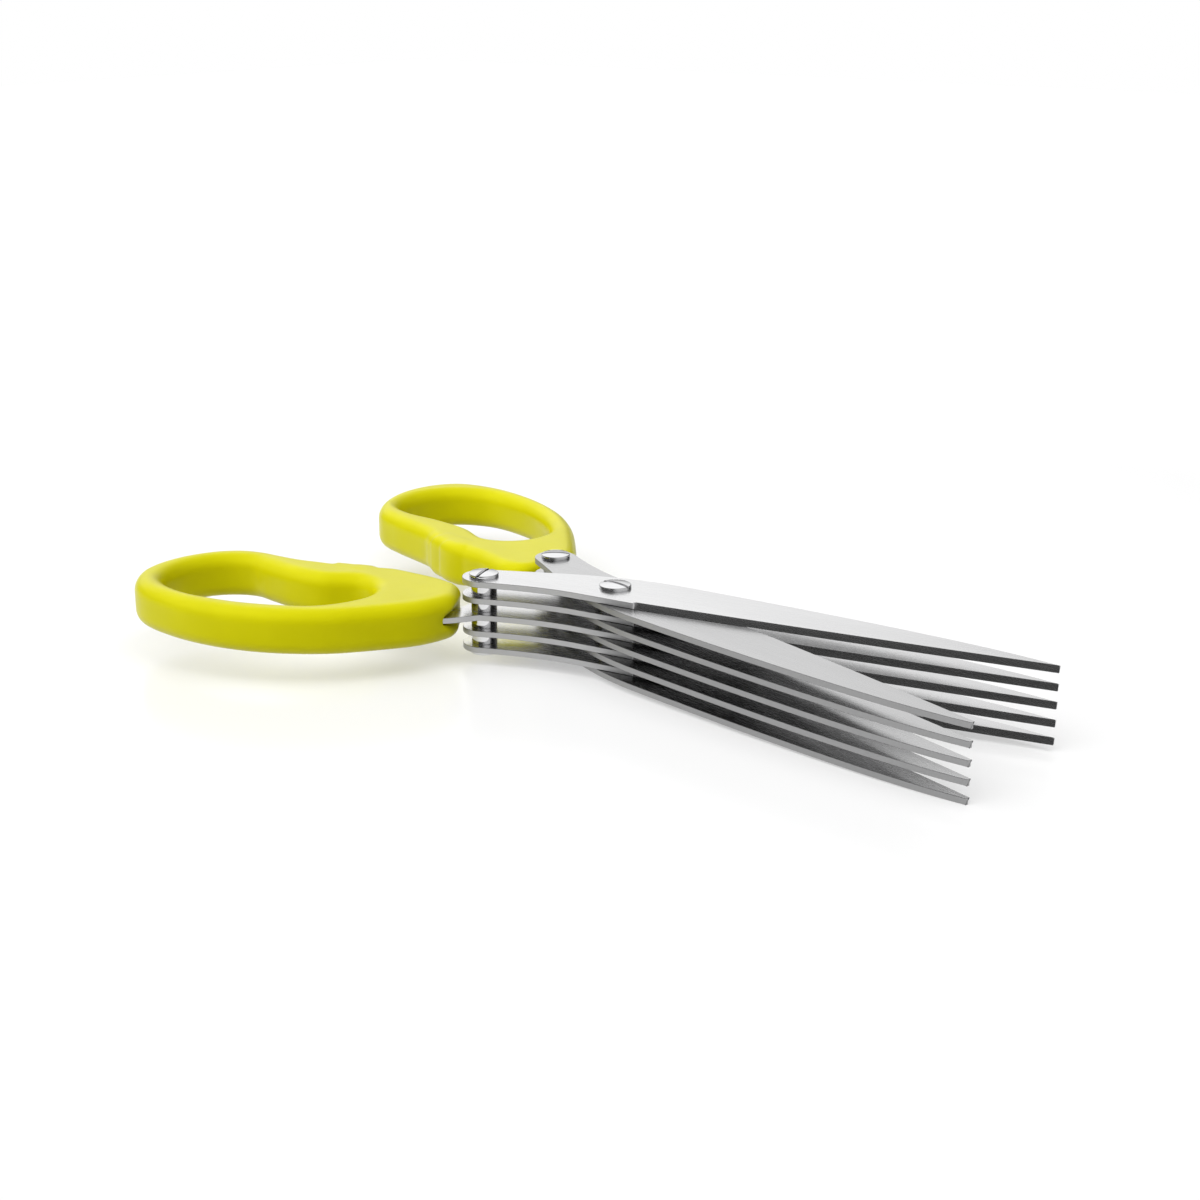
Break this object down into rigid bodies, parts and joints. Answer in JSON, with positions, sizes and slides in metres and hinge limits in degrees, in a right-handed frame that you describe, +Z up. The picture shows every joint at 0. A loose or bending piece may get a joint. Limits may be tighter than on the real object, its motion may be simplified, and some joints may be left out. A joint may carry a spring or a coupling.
{
  "type": "herb scissors",
  "caption": "Multi-bladed herb scissors: interleaved steel blades on one pivot, slotted screws and spacers at the tangs, and two moulded plastic finger loops.",
  "frame": {"origin": "on the pivot axis, in the plane of the pivot nut's underside", "axes": "+X along the middle of the open blades towards the points, +Z up through the stack of blades, +Y towards the handle of set B"},
  "size_m": [0.1862, 0.1104, 0.0186],
  "materials": {
    "blade_steel": "fine satin brushed stainless, ground at the cutting edge",
    "handle_plastic": "satin-gloss moulded plastic",
    "fastener_chrome": "polished"
  },
  "bodies": {
    "set_a": {"blade_a1": "blade_steel", "blade_a2": "blade_steel", "blade_a3": "blade_steel", "blade_a4": "blade_steel", "blade_a5": "blade_steel", "handle_a": "handle_plastic", "rear_screw_a": "fastener_chrome", "rear_nut_a": "fastener_chrome", "rear_spacer_a1": "fastener_chrome", "rear_spacer_a2": "fastener_chrome", "rear_spacer_a3": "fastener_chrome", "rear_spacer_a4": "fastener_chrome", "pivot_screw": "fastener_chrome", "pivot_nut": "fastener_chrome", "pivot_washer_1": "fastener_chrome", "pivot_washer_2": "fastener_chrome", "pivot_washer_3": "fastener_chrome", "pivot_washer_4": "fastener_chrome"},
    "set_b": {"blade_b1": "blade_steel", "blade_b2": "blade_steel", "blade_b3": "blade_steel", "blade_b4": "blade_steel", "blade_b5": "blade_steel", "handle_b": "handle_plastic", "rear_screw_b": "fastener_chrome", "rear_nut_b": "fastener_chrome", "rear_spacer_b1": "fastener_chrome", "rear_spacer_b2": "fastener_chrome", "rear_spacer_b3": "fastener_chrome", "rear_spacer_b4": "fastener_chrome"}
  },
  "joints": [
    {"name": "pivot_hinge", "type": "hinge", "parent": "set_a", "child": "set_b", "pos_m": [0, 0, 0.00932], "axis": [0, 0, -1], "range_deg": [-22.5, 100]}
  ]
}
